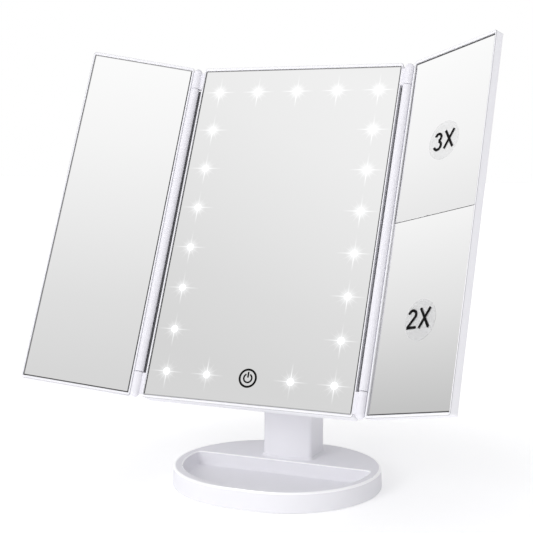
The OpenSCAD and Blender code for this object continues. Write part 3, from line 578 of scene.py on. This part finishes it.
def knuckle_profile(low, high):
    """Column with softened ends."""
    soft, slight = END_SOFT, END_SOFT * 0.3
    return [(0.0, low), (KNUCKLE_R - soft, low), (KNUCKLE_R - slight, low + slight), (KNUCKLE_R, low + soft),
            (KNUCKLE_R, high - soft), (KNUCKLE_R - slight, high - slight), (KNUCKLE_R - soft, high), (0.0, high)]


def domed_profile(flat, dome, sign):
    """Column from a flat softened end to a domed one; sign gives the way the dome points."""
    soft, slight = END_SOFT, END_SOFT * 0.3
    profile = [(0.0, flat), (KNUCKLE_R - soft, flat), (KNUCKLE_R - slight, flat + sign * slight),
               (KNUCKLE_R, flat + sign * soft)]
    steps = 8
    for i in range(steps + 1):
        a = math.pi / 2 * i / steps
        profile.append((KNUCKLE_R * math.cos(a), dome + sign * KNUCKLE_R * math.sin(a)))
    return profile


FRAME_PAINTS = [MATERIALS[name] for name in ("white_shell", "hinge_white", "edge_shade", "hinge_shadow")]


def centre_frame():
    mesh = bmesh.new()
    half_w, half_h = PANEL_HALF_W, PANEL_HALF_H
    glass_w, glass_h = GLASS_HALF_W + GLASS_GAP, GLASS_HALF_H + GLASS_GAP
    border(mesh, (-half_w, half_w, -half_h, half_h), (-glass_w, glass_w, -glass_h, glass_h),
           -LIP_PROUD, LEDGE_Y, BEZEL_BACK)
    top_dome = half_h - TOP_DOME_IN
    foot_dome = -half_h + FOOT_DOME_IN
    start = len(mesh.faces)
    for side in (-1, 1):
        x = side * HINGE_X
        turned(mesh, domed_profile(KNUCKLE_Z, top_dome, 1), (x, -HINGE_FRONT))
        turned(mesh, domed_profile(-KNUCKLE_Z, foot_dome, -1), (x, -HINGE_FRONT))
        inner = side * (half_w - WEB_IN)
        for z0, z1 in ((KNUCKLE_Z, top_dome), (foot_dome, -KNUCKLE_Z)):
            box(mesh, (min(inner, x), -HINGE_FRONT, z0), (max(inner, x), KNUCKLE_R - HINGE_FRONT, z1))
    paint_from(mesh, start, HINGE_PAINT)
    # a dark strip painted as shadow fills the gap behind each column
    start = len(mesh.faces)
    for side in (-1, 1):
        inner, shade_strip = side * (half_w - WEB_IN), side * (HINGE_X + SHADE_STRIP_REACH)
        box(mesh, (min(inner, shade_strip), SHADE_STRIP_Y[0], -KNUCKLE_Z), (max(inner, shade_strip), SHADE_STRIP_Y[1], KNUCKLE_Z))
    paint_from(mesh, start, SHADOW_PAINT)
    return piece("centre_frame", mesh, HEAD, "head", FRAME_PAINTS, "center_bezel")


def wing_frame(name, place, body, node, glass):
    mesh = bmesh.new()
    low, high = extent(node, place)
    glass_low, glass_high = extent(glass, place)
    border(mesh, (KNUCKLE_R + WING_GAP, high.x, -PANEL_HALF_H, PANEL_HALF_H),
           (glass_low.x - GLASS_GAP, glass_high.x + GLASS_GAP, -GLASS_HALF_H - GLASS_GAP, GLASS_HALF_H + GLASS_GAP),
           glass_low.y - LIP_PROUD, glass_low.y + LEDGE_Y, high.y)
    end = KNUCKLE_Z - KNUCKLE_GAP
    start = len(mesh.faces)
    turned(mesh, knuckle_profile(-end, end), (0.0, 0.0))
    box(mesh, (0.0, KNUCKLE_R - WEB_THICK, -end), (KNUCKLE_R + WING_WEB_REACH, KNUCKLE_R, end))
    paint_from(mesh, start, HINGE_PAINT)
    return piece(name, mesh, place, body, FRAME_PAINTS[:3], node)


centre_frame()
wing_frame("left_frame", LEFT_WING, "left_wing", "left_wing_frame", "left_wing_mirror")
wing_frame("right_frame", RIGHT_WING, "right_wing", "right_wing_frame", "mirror_3x")


# ---------- base ----------

BASE_R = 63.6
BASE_HALF = 8.0
BASE_H = 13.5
BASE_ROUND = 1.6
TRAY_Y = 9.8
TRAY_FLOOR = 4.2
RIM_W = 6.6
RAY_FROM = (0.0, -20.0)


def oval_distance(x, y):
    return math.hypot(max(abs(x) - BASE_HALF, 0.0), y)


def tray_field(x, y):
    """Signed distance to the tray's outline, with rounded ends where its wall meets the rim."""
    soft = 3.0
    wall = y - TRAY_Y + soft
    rim = oval_distance(x, y) - (BASE_R - RIM_W) + soft
    return min(max(wall, rim), 0.0) + math.hypot(max(wall, 0.0), max(rim, 0.0)) - soft


def outer_field(x, y):
    return oval_distance(x, y) - BASE_R


def ray_loop(field, offset, z, count=240):
    """Points where rays from inside the tray reach a given distance of a field."""
    points = []
    for i in range(count):
        a = 2 * math.pi * i / count
        low, high = 0.0, 120.0
        for _ in range(34):
            mid = (low + high) / 2
            if field(RAY_FROM[0] + mid * math.cos(a), RAY_FROM[1] + mid * math.sin(a)) < offset:
                low = mid
            else:
                high = mid
        points.append((RAY_FROM[0] + low * math.cos(a), RAY_FROM[1] + low * math.sin(a), z))
    return points


def neck_loop(grow, z, steps=5):
    """Outline of the neck, grown, with its bowed front."""
    half, front, rear, bow, corner = 18.0, 14.3, 44.0, 42.5, 3.0
    bow_y = front + bow
    cx = half - corner
    cy = bow_y - math.sqrt((bow - corner) ** 2 - cx * cx)
    slant = math.degrees(math.atan2(cx, bow_y - cy))
    points = []
    arcs = [(-cx, cy, 180, 270 - slant), (0.0, bow_y, 270 - slant, 270 + slant), (cx, cy, 270 + slant, 360),
            (cx, rear - corner, 0, 90), (-cx, rear - corner, 90, 180)]
    for x, y, a0, a1 in arcs:
        radius = (bow if x == 0.0 else corner) + grow
        count = steps * 3 if x == 0.0 else steps
        for i in range(count + 1):
            a = math.radians(a0 + (a1 - a0) * i / count)
            points.append((x + radius * math.cos(a), y + radius * math.sin(a), z))
    return points


def base_piece():
    mesh = bmesh.new()
    lip, fillet, draft = 0.7, 2.2, 0.8
    foot, foot_edge, foot_spread, foot_inset, hollow_top = 0.6, 0.35, 0.5, 2.2, 3.0
    loops = [ray_loop(tray_field, -fillet * 4, TRAY_FLOOR)]
    loops += [ray_loop(tray_field, -draft - fillet * (1 - s), TRAY_FLOOR + fillet * c) for s, c in quarter(6)]
    loops += [ray_loop(tray_field, lip * c, BASE_H - lip * (1 - s)) for s, c in quarter(4)]
    loops += [ray_loop(outer_field, -BASE_ROUND * (1 - s), BASE_H - BASE_ROUND * c) for s, c in quarter(6)]
    loops += [ray_loop(outer_field, foot_spread, foot + foot_edge), ray_loop(outer_field, foot_edge, foot),
              ray_loop(outer_field, -foot_inset, foot), ray_loop(outer_field, -foot_inset, hollow_top)]
    loft(mesh, loops, True, True)
    count = len(loops[0])
    mesh.faces.ensure_lookup_table()
    # painted highlight on the tray's rounded lip and the base's outer rounded edge
    tray_lip, outer_round = mesh.faces[8 * count:12 * count], mesh.faces[13 * count:18 * count]
    for face in tray_lip + outer_round:
        face.material_index = 1
    collar_foot, collar_top = BASE_H + 0.02, BASE_H + 1.62
    collar = [neck_loop(2.6, BASE_H - 0.2), neck_loop(2.2, collar_foot)]
    collar += [neck_loop(0.55 + 1.6 * (1 - s), collar_foot + 1.5 * c) for s, c in quarter(5)]
    collar += [neck_loop(0.3, collar_top), neck_loop(-1.0, collar_top)]
    loft(mesh, collar, True, True)
    return piece("base_body", mesh, Matrix.Diagonal((MM, MM, MM, 1)), "stand",
                 [MATERIALS["base_white"], MATERIALS["edge_gloss"]], "base_shell", 50)


base_piece()


# ---------- magnifying glasses ----------

SPHERE_R = 9000.0


def magnifier(name, place, body, node):
    """Glass with a shallow hollow face, softened edges and a flat back."""
    low, high = extent(node, place)
    mesh = bmesh.new()
    steps = 28
    soft = 0.25
    mid_x, mid_z = (low.x + high.x) / 2, (low.z + high.z) / 2
    corner = (high.x - mid_x) ** 2 + (high.z - mid_z) ** 2
    grid = []
    for i in range(steps + 1):
        row = []
        for j in range(steps + 1):
            x = low.x + soft + (high.x - low.x - 2 * soft) * i / steps
            z = low.z + soft + (high.z - low.z - 2 * soft) * j / steps
            sag = ((x - mid_x) ** 2 + (z - mid_z) ** 2 - corner) / (2 * SPHERE_R)
            row.append(mesh.verts.new((x, low.y - sag, z)))
        grid.append(row)
    for i in range(steps):
        for j in range(steps):
            mesh.faces.new((grid[i][j], grid[i][j + 1], grid[i + 1][j + 1], grid[i + 1][j]))
    outline = [grid[i][0] for i in range(steps)] + [grid[steps][j] for j in range(steps)]
    outline += [grid[steps - i][steps] for i in range(steps)] + [grid[0][steps - j] for j in range(steps)]

    def outward(value, middle, end):
        reach = (end - middle) * 0.99
        return soft * ((value > middle + reach) - (value < middle - reach))

    def grown(v, y):
        x, z = v.co.x, v.co.z
        return mesh.verts.new((x + outward(x, mid_x, high.x), y, z + outward(z, mid_z, high.z)))

    side = [grown(v, v.co.y + soft) for v in outline]
    back = [grown(v, high.y) for v in outline]
    for a, b in ((outline, side), (side, back)):
        for i in range(len(a)):
            j = (i + 1) % len(a)
            mesh.faces.new((a[i], a[j], b[j], b[i]))
    mesh.faces.new(list(reversed(back)))
    return piece(name, mesh, place, body, [nodes[node].data.materials[0]], node, 30)


magnifier("upper_glass", RIGHT_WING, "right_wing", "mirror_3x")
magnifier("lower_glass", RIGHT_WING, "right_wing", "mirror_2x")


# ---------- floor, light and camera ----------


def make_floor():
    size = 6.0
    mesh = bpy.data.meshes.new("floor")
    mesh.from_pydata([(-size, -size, 0), (size, -size, 0), (size, size, 0), (-size, size, 0)], [], [(0, 1, 2, 3)])
    floor = bpy.data.objects.new("floor", mesh)
    bpy.context.scene.collection.objects.link(floor)
    s = Shader("floor_white")
    reach = s.add("ShaderNodeVectorMath", operation="LENGTH")
    s.link(s.position, reach.inputs[0])
    glow = s.remap(reach.outputs["Value"], 0.06, 0.45, 0.26, 0.55)
    s.set(colour=(0.94, 0.94, 0.945), roughness=0.6, specular=0.1, glow=(1.0, 1.0, 1.0), glow_strength=glow)
    s.unsampled()
    mesh.materials.append(s.material)


def make_world():
    """White studio, with a soft darker band in front that the leaning mirrors look into."""
    world = bpy.data.worlds.new("studio")
    bpy.context.scene.world = world
    world.use_nodes = True
    s = Shader.inside(world.node_tree)
    background = s.tree.nodes["Background"]
    direction = s.add("ShaderNodeTexCoord").outputs["Generated"]
    parts = s.add("ShaderNodeSeparateXYZ")
    s.link(direction, parts.inputs[0])
    height = parts.outputs["Z"]
    band = s.ramp(height, [(0.0, (0.97,) * 3), (0.3, (0.78,) * 3), (0.47, (0.69,) * 3), (0.53, (0.70,) * 3),
                           (0.585, (0.765,) * 3), (0.64, (0.86,) * 3), (0.69, (0.945,) * 3), (0.735, (1.0,) * 3)])
    front = s.remap(s.math("MULTIPLY", parts.outputs["Y"], -1.0), 0.12, 0.42, 0.0, 1.0)
    seen = s.mix(front, (1.0, 1.0, 1.0), band)
    path = s.add("ShaderNodeLightPath")
    left_front = s.math("ADD", s.math("MULTIPLY", parts.outputs["X"], -0.35),
                        s.math("MULTIPLY", parts.outputs["Y"], -0.94))
    ambient = s.mix(s.remap(left_front, -0.8, 0.8, 0.0, 1.0), (0.22, 0.22, 0.225), (0.78, 0.78, 0.79))
    ambient = s.mix(s.remap(height, 0.2, 0.95, 0.0, 1.0), ambient, (0.74, 0.74, 0.745))
    soft = s.mix(path.outputs["Is Diffuse Ray"], seen, ambient)
    final = s.mix(path.outputs["Is Camera Ray"], soft, (1.0, 1.0, 1.0))
    s.link(final, background.inputs["Color"])
    background.inputs["Strength"].default_value = 1.0
    world.cycles.sampling_method = "NONE"  # the sky is soft, and tells rays apart, so rays find it by themselves


def area_light(name, place, target, size, power):
    data = bpy.data.lights.new(name, "AREA")
    data.shape = "DISK"
    data.size = size
    data.energy = power
    lamp = bpy.data.objects.new(name, data)
    bpy.context.scene.collection.objects.link(lamp)
    lamp.location = place
    lamp.rotation_euler = (Vector(target) - Vector(place)).to_track_quat("-Z", "Y").to_euler()
    lamp.visible_camera = False
    lamp.visible_glossy = False
    return lamp


def make_lights():
    middle = (0, 0, 0.12)
    area_light("key", (-0.45, -1.6, 0.75), middle, 0.6, 7.8)
    glint = area_light("glint", (-0.45, -0.15, 1.5), middle, 0.4, 40)
    glint.visible_glossy = True
    glint.visible_diffuse = False
    glint.data.use_nodes = True
    s = Shader.inside(glint.data.node_tree)
    direct = s.math("LESS_THAN", s.add("ShaderNodeLightPath").outputs["Ray Depth"], 1.5)
    s.link(direct, s.tree.nodes["Emission"].inputs["Strength"])


def make_camera():
    """The camera stands right of the middle, level with the glass, and looks slightly down."""
    data = bpy.data.cameras.new("camera")
    data.sensor_width = 36
    data.lens = 78.1
    data.clip_start = 0.05
    camera = bpy.data.objects.new("camera", data)
    bpy.context.scene.collection.objects.link(camera)
    yaw, pitch = math.radians(23.61), math.radians(6.04)
    camera.location = (0.3031, -0.7111, 0.2312)
    camera.rotation_euler = (math.pi / 2 - pitch, 0, yaw)
    bpy.context.scene.camera = camera


make_floor()
make_world()
make_lights()
make_camera()
bpy.context.scene.view_settings.view_transform = "Standard"
